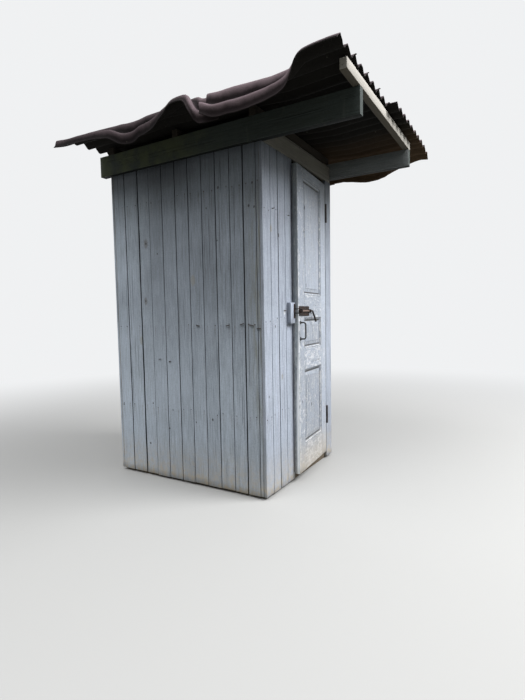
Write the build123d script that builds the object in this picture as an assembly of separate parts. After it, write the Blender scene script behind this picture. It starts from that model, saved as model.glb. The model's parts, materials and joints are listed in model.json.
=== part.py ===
from build123d import *
import math
import os

os.makedirs("parts", exist_ok=True)

# A board-clad garden outhouse with a panelled door and a flat corrugated roof.
# Lengths are millimetres. X runs along the front wall from its left corner, Y runs from the face of
# the front wall towards the rear, and Z runs up from the ground. Every piece is moved at the end so
# that the origin is under the middle of the roof.

# Overall sizes
hut_width = 1000
hut_depth = 1200
wall_top = 2050
front_eave = 630
rear_eave = 130
side_eave = 355

# Wall boards, which stop short of the ground
board_thickness = 20
board_bottom = 15
jamb_width = 97.5

# Sills, joist and floor
sill_width = 70
sill_height = 45
joist_width = 50
floor_thickness = 25

# Posts and the rails that the boards are nailed to
post_size = 50
rail_thickness = 30
rail_height = 50
low_rail_lift = 475
top_rail_drop = 210
side_middle_rail_drop = 1015
front_middle_rail_drop = 990
front_top_rail_drop = 350

# Side beams along the wall tops, which run on past both end walls
beam_proud = 25
beam_height = 135
right_beam_height = 110
beam_front_reach = 570
beam_rear_reach = 70
frieze_height = 110
frieze_proud = 4

# Purlins that carry the roof sheets, and the batten under the front edge
purlin_width = 45
purlin_height = 45
batten_width = 40
batten_left_reach = 200
batten_right_reach = 30

# Corrugated roof sheets
wave_pitch = 95
wave_height = 34
wave_points = 6
sheet_thickness = 4
sheet_gap = 0.3
rear_sheet_start = 85
end_lap = 100
side_lap_waves = 1
left_front_eave = 580

# The side edges hang down: each sheet bends over one length that starts this far outside the wall
bend_start = 145
bend_length = 95
overhang_sag = 14
front_bay_sag = 8
rear_bay_sag = 11

# Door leaf, made of stiles, rails and panels; the top panel takes the height that is left
door_width = 545
door_thickness = 38
door_bottom = 55
door_head_gap = 30
door_lap = 20
door_face_clearance = 6
stile_width = 105
top_rail_height = 65
lock_rail_height = 150
panel_middle_height = 200
middle_rail_height = 140
panel_bottom_height = 492
bottom_rail_height = 178
panel_thickness = 30
panel_field_depth = 9
moulding_width = 16
moulding_slope = 40

# Hinges, with the pin line in front of the leaf's face
hinge_seam = 5
knuckle_radius = 6.5
knuckle_face_gap = 0.5
knuckle_play = 0.8
pin_radius = 3
pin_play = 0.15
hinge_leaf_thickness = 1.8
hinge_leaf_width = 25
hinge_length = 132
low_hinge_lift = 285
high_hinge_drop = 205

# Bolt on the lock rail, its guides and its plate
bolt_lift = 45
bolt_radius = 6
bolt_play = 0.4
bolt_plate_gap = 1
bolt_plate_thickness = 3
bolt_plate_length = 180
bolt_plate_height = 62
bolt_plate_edge = 8
guide_width = 14
guide_wall = 4
guide_inset = 6
bolt_tip_reach = 12
bolt_back_reach = 236
bolt_handle_drop = 72
bolt_handle_splay = 22
bolt_handle_out = 16
bolt_bend_radius = 12

# Keeper block on the front wall, and its iron plate with a staple for the bolt
keeper_gap = 6
keeper_width = 62
keeper_height = 130
keeper_thickness = 26
keeper_drop = 12
keeper_plate_width = 16
keeper_plate_height = 92
keeper_plate_thickness = 3
staple_wire = 3
staple_clear = 4
staple_from_edge = 12

# Bow handle on the latch stile, below the bolt
pull_edge = 32
pull_drop = 74
pull_span = 104
pull_reach = 36
pull_wire = 4.5
pull_bend_radius = 14
pull_foot_radius = 11
pull_foot_thickness = 3

# Levels and lines worked out from the sizes above
door_top = wall_top - door_head_gap
panel_bottom_low = door_bottom + bottom_rail_height
panel_bottom_high = panel_bottom_low + panel_bottom_height
panel_middle_low = panel_bottom_high + middle_rail_height
panel_middle_high = panel_middle_low + panel_middle_height
panel_top_low = panel_middle_high + lock_rail_height
panel_top_high = door_top - top_rail_height
face_y = knuckle_radius + knuckle_face_gap
back_y = face_y + door_thickness
leaf_right = -hinge_seam / 2
leaf_left = leaf_right - door_width
hinge_x = hut_width - jamb_width - hinge_seam / 2
hinge_y = -face_y
leaf_reach = math.hypot(leaf_left, back_y)
front_wall_width = hinge_x - leaf_reach + door_lap
post_inner = board_thickness + post_size
inner_right = hut_width - board_thickness
inner_rear = hut_depth - board_thickness
beam_top = wall_top + beam_height
lap_rise = sheet_thickness + sheet_gap
front_support_height = purlin_height + 2 * lap_rise
right_wall_top = beam_top - right_beam_height
roof_centre = hut_width / 2
roof_half_width = roof_centre + side_eave
bend_reach = roof_centre + bend_start
front_edge = -front_eave
rear_edge = hut_depth + rear_eave
floor_top = sill_height + floor_thickness
origin_x = roof_centre
origin_y = (front_edge + rear_edge) / 2


def block(x0, x1, y0, y1, z0, z1):
    """A squared piece between two corners."""
    size = Box(x1 - x0, y1 - y0, z1 - z0)
    return Pos((x0 + x1) / 2, (y0 + y1) / 2, (z0 + z1) / 2) * size


def save(name, *solids):
    """Write one piece, or several like pieces, with the origin under the middle of the roof."""
    moved = [Pos(-origin_x, -origin_y, 0) * solid for solid in solids]
    shape = moved[0] if len(moved) == 1 else Compound(children=moved)
    export_step(shape, f"parts/{name}.step")


# Sills on the ground, with a joist between them and the floor deck on top
save("sill_left", block(board_thickness, board_thickness + sill_width, board_thickness, inner_rear,
                        0, sill_height))
save("sill_right", block(inner_right - sill_width, inner_right, board_thickness, inner_rear,
                         0, sill_height))
cross_left = board_thickness + sill_width
cross_right = inner_right - sill_width
save("cross_sills",
     block(cross_left, cross_right, board_thickness, board_thickness + sill_width, 0, sill_height),
     block(cross_left, cross_right, inner_rear - sill_width, inner_rear, 0, sill_height))
middle_y = hut_depth / 2
save("floor_joist", block(cross_left, cross_right, middle_y - joist_width / 2,
                          middle_y + joist_width / 2, 0, sill_height))
save("floor_deck", block(post_inner, hut_width - post_inner, post_inner, hut_depth - post_inner,
                         sill_height, floor_top))

# Corner posts stand on the side sills and reach the top of the side beams
post_rows = {"front": board_thickness, "rear": inner_rear - post_size}
post_columns = {"left": board_thickness, "right": inner_right - post_size}


def post(x, y, top):
    return block(x, x + post_size, y, y + post_size, sill_height, top)


save("front_left_post", post(post_columns["left"], post_rows["front"], beam_top))
save("front_right_post", post(post_columns["right"], post_rows["front"], beam_top))
save("rear_posts", *[post(x, post_rows["rear"], beam_top) for x in post_columns.values()])

# The door post backs the free edge of the front wall
save("door_post", post(front_wall_width - post_size, post_rows["front"], wall_top + frieze_height))

# Rails between the posts, one row for each row of nails
rail_front = post_inner
rail_rear = hut_depth - post_inner
low_rail_z = board_bottom + low_rail_lift
side_rail_heights = (low_rail_z, wall_top - side_middle_rail_drop, wall_top - top_rail_drop)
front_rail_heights = (low_rail_z, wall_top - front_middle_rail_drop, wall_top - front_top_rail_drop)


def side_rails(x0):
    return [block(x0, x0 + rail_thickness, rail_front, rail_rear, z - rail_height / 2,
                  z + rail_height / 2) for z in side_rail_heights]


save("left_wall_rails", *side_rails(board_thickness))
save("right_wall_rails", *side_rails(inner_right - rail_thickness))
save("rear_wall_rails", *[block(post_inner, hut_width - post_inner, inner_rear - rail_thickness,
                                inner_rear, z - rail_height / 2, z + rail_height / 2)
                          for z in side_rail_heights])
save("front_wall_rails", *[block(post_inner, front_wall_width - post_size, board_thickness,
                                 board_thickness + rail_thickness, z - rail_height / 2,
                                 z + rail_height / 2) for z in front_rail_heights])

# Board walls: the end walls cover the edges of the side walls
save("left_wall", block(0, board_thickness, board_thickness, inner_rear, board_bottom, wall_top))
save("right_wall", block(inner_right, hut_width, board_thickness, inner_rear, board_bottom,
                         right_wall_top))
save("rear_wall", block(0, hut_width, inner_rear, hut_depth, board_bottom, wall_top))
save("front_wall", block(0, front_wall_width, 0, board_thickness, board_bottom, wall_top))
jamb_edge = hinge_x + hinge_seam / 2
save("hinge_jamb", block(jamb_edge, hut_width, 0, board_thickness, board_bottom, wall_top))

# Side beams are nailed to the posts above the side walls, with a frieze between them at each end
beam_front = -beam_front_reach
beam_rear = hut_depth + beam_rear_reach
save("left_side_beam", block(-beam_proud, board_thickness, beam_front, beam_rear, wall_top,
                             beam_top))
save("right_side_beam", block(inner_right, hut_width + beam_proud, beam_front, beam_rear,
                              right_wall_top, beam_top))
frieze_top = wall_top + frieze_height
save("front_frieze", block(board_thickness, inner_right, -frieze_proud, board_thickness,
                           wall_top, frieze_top))
save("rear_frieze", block(board_thickness, inner_right, inner_rear, hut_depth + frieze_proud,
                          wall_top, frieze_top))

# Purlins lie across the beams, and the front batten carries the whole front edge of the roof
purlin_left = -beam_proud
purlin_right = hut_width + beam_proud
front_purlin_y = board_thickness
middle_purlin_y = middle_y - purlin_width / 2
rear_purlin_y = inner_rear - purlin_width
front_support_top = beam_top + front_support_height
rear_support_top = beam_top + purlin_height
batten_front = beam_front
batten_rear = beam_front + batten_width
save("front_batten", block(-batten_left_reach, hut_width + batten_right_reach, batten_front,
                           batten_rear, beam_top, front_support_top))
save("front_purlin", block(purlin_left, purlin_right, front_purlin_y,
                           front_purlin_y + purlin_width, beam_top, front_support_top))
save("middle_purlin", block(purlin_left, purlin_right, middle_purlin_y,
                            middle_purlin_y + purlin_width, beam_top, rear_support_top))
save("rear_purlin", block(purlin_left, purlin_right, rear_purlin_y,
                          rear_purlin_y + purlin_width, beam_top, rear_support_top))

front_sheet_end = rear_sheet_start + end_lap
purlin_rear = front_purlin_y + purlin_width
middle_rear = middle_purlin_y + purlin_width


def overhang(share):
    """A place between the front batten and the front purlin."""
    return batten_rear + share * (front_purlin_y - batten_rear)


def front_bay(share):
    """A place between the front and the middle purlin."""
    return purlin_rear + share * (middle_purlin_y - purlin_rear)


def rear_bay(share):
    """A place between the middle and the rear purlin."""
    return middle_rear + share * (rear_purlin_y - middle_rear)


# Lines across each pair of sheets: place along the roof, sag at mid-roof, and how many degrees the
# left and the right edges hang down there
front_lines = [
    (front_edge, 0, 0, 12),
    (batten_front, 0, 0, 10),
    (batten_rear, 0, 0, 12),
    (overhang(0.22), 0.3 * overhang_sag, 3, 24),
    (overhang(0.33), 0.5 * overhang_sag, 30, 33),
    (overhang(0.44), 0.7 * overhang_sag, 48, 44),
    (overhang(0.60), overhang_sag, 54, 48),
    (front_purlin_y, 0, 62, 38),
    (purlin_rear, 0, 62, 38),
    (front_sheet_end, 0.4 * front_bay_sag, 46, 38),
]
rear_lines = [
    (rear_sheet_start, 0.2 * front_bay_sag, 64, 38),
    (front_bay(0.27), 0.5 * front_bay_sag, 60, 38),
    (front_bay(0.39), 0.7 * front_bay_sag, 14, 38),
    (front_bay(0.48), front_bay_sag, 11, 38),
    (front_bay(0.67), front_bay_sag, 26, 38),
    (middle_purlin_y, 0, 52, 40),
    (middle_rear, 0, 54, 40),
    (rear_bay(0.15), 0.5 * rear_bay_sag, 60, 38),
    (rear_bay(0.50), rear_bay_sag, 34, 30),
    (rear_purlin_y, 0, 30, 12),
    (rear_purlin_y + purlin_width, 0, 30, 12),
    (rear_edge, 0, 25, 0),
]


def between(lines, y, column):
    """The value of a column of the lines at y, taken straight from line to line."""
    for before, after in zip(lines, lines[1:]):
        if y <= after[0]:
            share = (y - before[0]) / (after[0] - before[0])
            return before[column] + share * (after[column] - before[column])


def sheet_point(across, y, out, sag, degrees):
    """A point of a sheet, by its reach from mid-roof along the sheet and its height off the middle
    line, with the edge bent down by the given angle."""
    side = math.copysign(1, across)
    reach = abs(across)
    run = reach
    drop = 0
    turn = 0
    if degrees > 0 and reach > bend_reach:
        radius = bend_length / math.radians(degrees)
        turn = min(reach - bend_reach, bend_length) / radius
        straight = max(reach - bend_reach - bend_length, 0)
        run = bend_reach + radius * math.sin(turn) + straight * math.cos(turn)
        drop = radius * (1 - math.cos(turn)) + straight * math.sin(turn)
    x = roof_centre + side * (run + out * math.sin(turn))
    return (x, y, rear_support_top + sheet_gap - sag - drop + out * math.cos(turn))


def sheet(across_from, across_to, lines, y_from, level):
    """One corrugated sheet, lifted by its place in the laps."""
    steps = round((across_to - across_from) / wave_pitch * wave_points)
    columns = [across_from + (across_to - across_from) * step / steps for step in range(steps + 1)]
    sections = []
    for y in [y_from] + [line[0] for line in lines if line[0] > y_from]:
        sag = between(lines, y, 1)
        under = []
        over = []
        for across in columns:
            wave = wave_height / 2 * (1 - math.cos(2 * math.pi * across / wave_pitch))
            out = wave + level * lap_rise
            degrees = between(lines, y, 2 if across < 0 else 3)
            under.append(sheet_point(across, y, out, sag, degrees))
            over.append(sheet_point(across, y, out + sheet_thickness, sag, degrees))
        sections.append(make_face(Polyline(*under, *reversed(over), close=True)))
    return loft(sections, ruled=True)


side_lap = side_lap_waves * wave_pitch / 2
save("rear_right_roof_sheet", sheet(-side_lap, roof_half_width, rear_lines, rear_sheet_start, 0))
save("rear_left_roof_sheet", sheet(-roof_half_width, side_lap, rear_lines, rear_sheet_start, 1))
save("front_right_roof_sheet", sheet(-side_lap, roof_half_width, front_lines, front_edge, 2))
save("front_left_roof_sheet", sheet(-roof_half_width, side_lap, front_lines, -left_front_eave, 3))

# The leaf is drawn square to the pin line, face forward, with the pin line at X and Y zero. It laps
# over the free edge of the front wall, so it stands at a small angle to the wall.
back_corner_angle = math.atan2(back_y, -leaf_left)
rest_angle = math.degrees(back_corner_angle - math.asin((face_y - door_face_clearance) / leaf_reach))


def on_door(shape):
    return Pos(hinge_x, hinge_y, 0) * Rot(0, 0, rest_angle) * shape


stile_inner_left = leaf_left + stile_width
stile_inner_right = leaf_right - stile_width
save("latch_stile", on_door(block(leaf_left, stile_inner_left, face_y, back_y, door_bottom,
                                  door_top)))
save("hinge_stile", on_door(block(stile_inner_right, leaf_right, face_y, back_y, door_bottom,
                                  door_top)))


def rail(z0, z1):
    return on_door(block(stile_inner_left, stile_inner_right, face_y, back_y, z0, z1))


def panel(z0, z1):
    """A panel with a sloped moulding round its field, on both faces."""
    middle = (face_y + back_y) / 2
    front = middle - panel_thickness / 2
    rear = middle + panel_thickness / 2
    slab = block(stile_inner_left, stile_inner_right, front, rear, z0, z1)
    centre_x = (stile_inner_left + stile_inner_right) / 2
    width = stile_inner_right - stile_inner_left - 2 * moulding_width
    height = z1 - z0 - 2 * moulding_width
    spread = panel_field_depth * math.tan(math.radians(moulding_slope))
    for y, inward in ((front, 1), (rear, -1)):
        mouth = Plane((centre_x, y, (z0 + z1) / 2), x_dir=(1, 0, 0), z_dir=(0, inward, 0))
        field = Plane((centre_x, y + inward * panel_field_depth, (z0 + z1) / 2), x_dir=(1, 0, 0),
                      z_dir=(0, inward, 0))
        outer = mouth * Rectangle(width + 2 * spread, height + 2 * spread)
        inner = field * Rectangle(width, height)
        slab -= loft([outer, inner])
    return on_door(slab)


save("top_rail", rail(panel_top_high, door_top))
save("lock_rail", rail(panel_middle_high, panel_top_low))
save("middle_rail", rail(panel_bottom_high, panel_middle_low))
save("bottom_rail", rail(door_bottom, panel_bottom_low))
save("top_panel", panel(panel_top_low, panel_top_high))
save("middle_panel", panel(panel_middle_low, panel_middle_high))
save("bottom_panel", panel(panel_bottom_low, panel_bottom_high))

# Each hinge has two outer knuckles and a pin on the jamb's leaf, and one knuckle on the door's leaf
hinge_heights = (door_bottom + low_hinge_lift, door_top - high_hinge_drop)
knuckle_length = hinge_length / 3


def knuckle(z0, z1):
    return Pos(0, 0, (z0 + z1) / 2) * Cylinder(knuckle_radius, z1 - z0)


def plate_in_seam(side, z0, z1):
    """The flat leaf that runs back from the knuckle between the door and the jamb."""
    outer = side * hinge_seam / 2
    inner = side * (hinge_seam / 2 - hinge_leaf_thickness)
    return block(min(outer, inner), max(outer, inner), 0, hinge_leaf_width, z0, z1)


def fixed_hinge_half(z):
    low = z - hinge_length / 2
    high = z + hinge_length / 2
    inner_low = low + knuckle_length
    inner_high = high - knuckle_length
    half = knuckle(low, inner_low) + knuckle(inner_high, high)
    half += Pos(0, 0, z) * Cylinder(pin_radius, hinge_length)
    swing = knuckle_radius + knuckle_play
    half += (plate_in_seam(1, low, high)
             - Pos(0, 0, z) * Cylinder(swing, knuckle_length))
    return Pos(hinge_x, hinge_y, 0) * half


def moving_hinge_half(z):
    low = z - hinge_length / 2
    high = z + hinge_length / 2
    inner_low = low + knuckle_length + knuckle_play
    inner_high = high - knuckle_length - knuckle_play
    swing = knuckle_radius + knuckle_play
    half = plate_in_seam(-1, low, high) - Pos(0, 0, z) * Cylinder(swing, hinge_length)
    half += plate_in_seam(-1, inner_low, inner_high)
    half += knuckle(inner_low, inner_high)
    half -= Pos(0, 0, z) * Cylinder(pin_radius + pin_play, hinge_length)
    return on_door(half)


save("jamb_hinge_leaves", *[fixed_hinge_half(z) for z in hinge_heights])
save("door_hinge_leaves", *[moving_hinge_half(z) for z in hinge_heights])

# The bolt slides through two guides on a plate at the latch edge of the door
bolt_z = panel_middle_high + bolt_lift
plate_left = leaf_left + bolt_plate_edge
plate_right = plate_left + bolt_plate_length
plate_face = face_y - bolt_plate_thickness
bolt_y = plate_face - bolt_plate_gap - bolt_radius
bore_radius = bolt_radius + bolt_play
guide_front = bolt_y - bore_radius - guide_wall


def guide(x):
    half_height = bore_radius + guide_wall
    body = block(x, x + guide_width, guide_front, plate_face, bolt_z - half_height,
                 bolt_z + half_height)
    bore = Pos(x + guide_width / 2, bolt_y, bolt_z) * Rot(0, 90, 0) * Cylinder(bore_radius,
                                                                              2 * guide_width)
    return body - bore


bolt_plate = block(plate_left, plate_right, plate_face, face_y, bolt_z - bolt_plate_height / 2,
                   bolt_z + bolt_plate_height / 2)
bolt_plate += guide(plate_left + guide_inset)
bolt_plate += guide(plate_right - guide_inset - guide_width)
save("bolt_plate", on_door(bolt_plate))

bolt_tip = leaf_left - bolt_tip_reach
bolt_bend = leaf_left + bolt_back_reach
bolt_path = FilletPolyline(
    (bolt_tip, bolt_y, bolt_z),
    (bolt_bend, bolt_y, bolt_z),
    (bolt_bend + bolt_handle_splay, bolt_y - bolt_handle_out, bolt_z - bolt_handle_drop),
    radius=bolt_bend_radius)
bolt_rod = sweep(Plane(bolt_path @ 0, z_dir=bolt_path % 0) * Circle(bolt_radius), bolt_path)
save("bolt_rod", on_door(bolt_rod))

# The keeper block stands beside the door, with an iron plate and staple that the bolt runs into
keeper_z = bolt_z - keeper_drop
keeper_right = hinge_x - leaf_reach - keeper_gap
keeper_left = keeper_right - keeper_width
save("keeper_block", block(keeper_left, keeper_right, -keeper_thickness, 0,
                           keeper_z - keeper_height / 2, keeper_z + keeper_height / 2))
tilt = math.radians(rest_angle)
staple_x = keeper_right - staple_from_edge
along_bolt = (hinge_x - staple_x + bolt_y * math.sin(tilt)) / math.cos(tilt)
bolt_at_staple = hinge_y + bolt_y * math.cos(tilt) - along_bolt * math.sin(tilt)
staple_half = bolt_radius + staple_clear + staple_wire
staple_front = bolt_at_staple - staple_half
staple_back = -keeper_thickness - keeper_plate_thickness / 2
staple_path = FilletPolyline(
    (staple_x, staple_back, bolt_z - staple_half),
    (staple_x, staple_front, bolt_z - staple_half),
    (staple_x, staple_front, bolt_z + staple_half),
    (staple_x, staple_back, bolt_z + staple_half),
    radius=staple_half * 0.6)
staple = sweep(Plane(staple_path @ 0, z_dir=staple_path % 0) * Circle(staple_wire), staple_path)
staple += block(staple_x - keeper_plate_width / 2, staple_x + keeper_plate_width / 2,
                -keeper_thickness - keeper_plate_thickness, -keeper_thickness,
                bolt_z - keeper_plate_height / 2, bolt_z + keeper_plate_height / 2)
save("keeper_staple", staple)

# The bow handle is a bent rod with a round foot at each end
pull_high = bolt_z - pull_drop
pull_low = pull_high - pull_span
pull_x = leaf_left + pull_edge
foot_face = face_y - pull_foot_thickness
pull_front = face_y - pull_reach
pull_path = FilletPolyline(
    (pull_x, foot_face, pull_low),
    (pull_x, pull_front, pull_low),
    (pull_x, pull_front, pull_high),
    (pull_x, foot_face, pull_high),
    radius=pull_bend_radius)
pull = sweep(Plane(pull_path @ 0, z_dir=pull_path % 0) * Circle(pull_wire), pull_path)
for z in (pull_low, pull_high):
    foot = Rot(90, 0, 0) * Cylinder(pull_foot_radius, pull_foot_thickness)
    pull += Pos(pull_x, face_y - pull_foot_thickness / 2, z) * foot
save("pull_handle", on_door(pull))

print("rest angle", rest_angle, "bolt direction", -math.cos(tilt), -math.sin(tilt))
print("hinge point", hinge_x - origin_x, hinge_y - origin_y, "front wall width", front_wall_width)
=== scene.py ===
from functools import reduce
import json
import math
import random

import bmesh
import bpy
from mathutils import Matrix, Vector, noise


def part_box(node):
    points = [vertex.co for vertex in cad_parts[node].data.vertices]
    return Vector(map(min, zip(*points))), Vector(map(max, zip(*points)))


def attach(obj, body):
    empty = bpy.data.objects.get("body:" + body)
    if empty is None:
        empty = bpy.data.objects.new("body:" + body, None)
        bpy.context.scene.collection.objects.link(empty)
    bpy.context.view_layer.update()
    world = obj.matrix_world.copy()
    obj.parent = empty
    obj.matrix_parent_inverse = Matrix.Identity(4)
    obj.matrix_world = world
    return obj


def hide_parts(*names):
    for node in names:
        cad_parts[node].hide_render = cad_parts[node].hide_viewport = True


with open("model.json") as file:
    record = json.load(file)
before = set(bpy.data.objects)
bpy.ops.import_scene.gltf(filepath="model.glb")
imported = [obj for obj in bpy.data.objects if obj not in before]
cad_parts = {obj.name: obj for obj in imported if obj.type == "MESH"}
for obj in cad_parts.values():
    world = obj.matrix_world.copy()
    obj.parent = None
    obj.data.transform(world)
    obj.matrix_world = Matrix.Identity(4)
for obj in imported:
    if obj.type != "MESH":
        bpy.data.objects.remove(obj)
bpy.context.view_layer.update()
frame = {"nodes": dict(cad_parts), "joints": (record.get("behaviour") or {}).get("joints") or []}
scene = bpy.context.scene


# The camera stands to the left of the hut and a little in front of it, at chest height, and is turned
# slightly down.
camera_place = Vector((-2.726, -1.652, 1.089))
camera_yaw = math.radians(59.393)
camera_pitch = math.radians(-4.429)
camera_roll = math.radians(-0.984)


def placed(name, data):
    """A new object in the scene."""
    made = bpy.data.objects.new(name, data)
    scene.collection.objects.link(made)
    return made


level_right = Vector((math.cos(camera_yaw), -math.sin(camera_yaw), 0))
reach = math.cos(camera_pitch)
look = Vector((math.sin(camera_yaw) * reach, math.cos(camera_yaw) * reach, math.sin(camera_pitch)))
level_up = level_right.cross(look)
right = math.cos(camera_roll) * level_right + math.sin(camera_roll) * level_up
up = math.cos(camera_roll) * level_up - math.sin(camera_roll) * level_right
camera_data = bpy.data.cameras.new("camera")
camera_data.lens = 23.28
camera_data.sensor_width = 36
camera_turn = Matrix((right, up, -look)).transposed().to_4x4()
scene.camera = placed("camera", camera_data)
scene.camera.matrix_world = Matrix.Translation(camera_place) @ camera_turn
scene.view_settings.view_transform = "Standard"


# The hut stands on a plain pale floor that fades into the backdrop, under a large soft lamp in front
# and above, a weaker one on the left, and a sky that is brighter overhead. The floor throws little
# light back up under the eaves.
backdrop_colour = (0.87, 0.88, 0.89)
floor_colour = (0.34, 0.34, 0.335)
bounce_colour = (0.14, 0.14, 0.12)
floor_fade = (1.4, 6.5)
sky_low = 0.09
sky_high = 1.0
sky_rise = (0.05, 0.85)
lamps = (
    ("front lamp", (1.25, -4.75, 5.6), (0.0, -0.3, 0.8), 3.9, 775),
    ("left lamp", (-3.4, 0.4, 7.0), (-0.5, 0.2, 0.8), 4.0, 350),
)


def feed(tree, socket, value):
    """Connect a wire to a socket, or fill the socket with a value."""
    if isinstance(value, Wire):
        tree.links.new(value.socket, socket)
    else:
        socket.default_value = (*value, 1) if socket.type == "RGBA" else value


def add_node(tree, kind, inputs=None, output=0, **settings):
    """Add a node, set it up, connect or fill its sockets, and return one of its outputs."""
    made = tree.nodes.new(kind)
    for name, value in settings.items():
        setattr(made, name, value)
    for name, value in (inputs or {}).items():
        feed(tree, made.inputs[name], value)
    return Wire(tree, made.outputs[output])


def worked(operation):
    """A method that adds the node for one kind of sum with a wire."""
    return lambda wire, other=0.0: add_node(
        wire.tree, "ShaderNodeMath", {0: wire, 1: other}, operation=operation)


class Wire:
    """An output in a node tree, which takes part in ordinary sums."""

    __add__ = __radd__ = worked("ADD")
    __sub__ = worked("SUBTRACT")
    __mul__ = __rmul__ = worked("MULTIPLY")
    __truediv__ = worked("DIVIDE")
    __pow__ = worked("POWER")
    __abs__ = worked("ABSOLUTE")
    lower_of = worked("MINIMUM")
    higher_of = worked("MAXIMUM")
    is_above = worked("GREATER_THAN")
    sine = worked("SINE")
    cosine = worked("COSINE")

    def __init__(self, tree, socket):
        self.tree = tree
        self.socket = socket

    def __rsub__(self, other):
        return add_node(self.tree, "ShaderNodeMath", {0: other, 1: self}, operation="SUBTRACT")

    def step(self, start, end):
        """0 up to start and 1 from end on, with a smooth change between them. start may be the higher."""
        ends = {"Value": self, "From Min": start, "From Max": end}
        return add_node(self.tree, "ShaderNodeMapRange", ends, interpolation_type="SMOOTHSTEP")


def parts_of(vector):
    """The x, y and z of a vector, as three wires."""
    parts = vector.tree.nodes.new("ShaderNodeSeparateXYZ")
    feed(vector.tree, parts.inputs[0], vector)
    return [Wire(vector.tree, out) for out in parts.outputs]


class Finish:
    """A material while its nodes are added. Its colour is what has been painted so far."""

    def __init__(self, name):
        self.material = bpy.data.materials.new(name)
        self.material.use_nodes = True
        self.tree = self.material.node_tree
        self.shader = self.tree.nodes["Principled BSDF"]
        self.place = self.node("TexCoord", output="Object")
        self.x, self.y, self.z = parts_of(self.place)
        self.colour = None
        self.relief = None

    def node(self, kind, inputs=None, output=0, **settings):
        return add_node(self.tree, "ShaderNode" + kind, inputs, output, **settings)

    def attribute(self, name, output="Fac"):
        return self.node("Attribute", output=output, attribute_name=name)

    def stretch(self, vector, scale):
        return self.node("VectorMath", {0: vector, 1: scale}, operation="MULTIPLY")

    def noise(self, scale, detail=3.0, roughness=0.5, distortion=0.0, squeeze=None, vector=None):
        """Noise, drawn out along each axis that squeeze has below 1."""
        vector = vector or self.place
        if squeeze:
            vector = self.stretch(vector, squeeze)
        return self.node("TexNoise", {
            "Vector": vector, "Scale": scale, "Detail": detail, "Roughness": roughness,
            "Distortion": distortion})

    def along_grain(self, squeeze, scale, detail=3.0, roughness=0.5, distortion=0.0):
        """Noise that is drawn out along the grain of the wood."""
        grain = self.attribute("grain", "Vector")
        return self.noise(scale, detail, roughness, distortion, (1, 1, squeeze), grain)

    def near(self, point, scale=(1, 1, 1)):
        """The distance to a point, measured with each axis stretched by scale."""
        offset = self.node("VectorMath", {0: self.place, 1: point}, operation="SUBTRACT")
        return self.node("VectorMath", {0: self.stretch(offset, scale)}, "Value", operation="LENGTH")

    def mixed(self, share, first, second, way="MIX"):
        return self.node("Mix", {0: share, 6: first, 7: second}, 2, data_type="RGBA", blend_type=way)

    def cover(self, share, colour):
        """Lay another colour over what is there, by a share."""
        self.colour = self.mixed(share, self.colour, colour)

    def tint(self, factor):
        """Make the colour lighter or darker by a factor."""
        grey = self.node("CombineColor", {0: factor, 1: factor, 2: factor})
        self.colour = self.mixed(1.0, self.colour, grey, "MULTIPLY")

    def done(self, relief_depth=0.0, **values):
        """Connect the colour, the relief and the other values, named with underscores for spaces."""
        values["Base_Color"] = self.colour
        if self.relief:
            values["Normal"] = self.node("Bump", {"Height": self.relief, "Distance": relief_depth})
        for name, value in values.items():
            feed(self.tree, self.shader.inputs[name.replace("_", " ")], value)
        return self.material


def looked_at(tree):
    """1 for rays that come from the camera, straight or by way of a mirror or glass, else 0."""
    kinds = ["Is Camera Ray", "Is Glossy Ray", "Is Transmission Ray"]
    return reduce(Wire.higher_of, [add_node(tree, "ShaderNodeLightPath", output=kind) for kind in kinds])


floor_mesh = bpy.data.meshes.new("floor")
floor_disc = bmesh.new()
bmesh.ops.create_circle(floor_disc, cap_ends=True, segments=96, radius=40)
floor_disc.to_mesh(floor_mesh)
floor_disc.free()
ground = Finish("floor")
seen = looked_at(ground.tree)
ground.colour = ground.mixed(seen, bounce_colour, floor_colour)
floor_mesh.materials.append(ground.done(Roughness=0.9))
away = ground.near((0, 0, 0)).step(*floor_fade)
lit_floor = Wire(ground.tree, ground.shader.outputs[0])
backdrop_light = ground.node("Emission", {"Color": backdrop_colour})
faded = ground.node("MixShader", {0: away * seen, 1: lit_floor, 2: backdrop_light})
feed(ground.tree, ground.tree.nodes["Material Output"].inputs["Surface"], faded)
floor = placed("floor", floor_mesh)

world = bpy.data.worlds.new("sky")
scene.world = world
world.use_nodes = True
sky = world.node_tree
sky_light = sky.nodes["Background"].inputs
feed(sky, sky_light["Color"], backdrop_colour)
sky_height = parts_of(add_node(sky, "ShaderNodeTexCoord", output="Generated"))[2]
overhead = sky_low + (sky_high - sky_low) * sky_height.step(*sky_rise)
seen_sky = looked_at(sky)
feed(sky, sky_light["Strength"], overhead * (1 - seen_sky) + seen_sky)

for name, place, aim, size, power in lamps:
    lamp_data = bpy.data.lights.new(name, "AREA")
    lamp_data.shape = "DISK"
    lamp_data.size = size
    lamp_data.energy = power
    lamp = placed(name, lamp_data)
    lamp.location = place
    lamp.rotation_euler = (Vector(aim) - Vector(place)).to_track_quat("-Z", "Y").to_euler()


# Sills of squared timber lie on the ground and carry the hut, with a joist between them. The floor
# is of planks nailed across. All of it is bare wood, grey with age.
bare_edge = 0.003
floor_plank_width = 0.13
floor_plank_gap = 0.003
ring_spacing = 0.045
face_margin = 0.004
damp_wood_colour = (0.075, 0.062, 0.045)
x_axis = Vector((1, 0, 0))
y_axis = Vector((0, 1, 0))
z_axis = Vector((0, 0, 1))
draw = random.Random(7)


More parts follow.
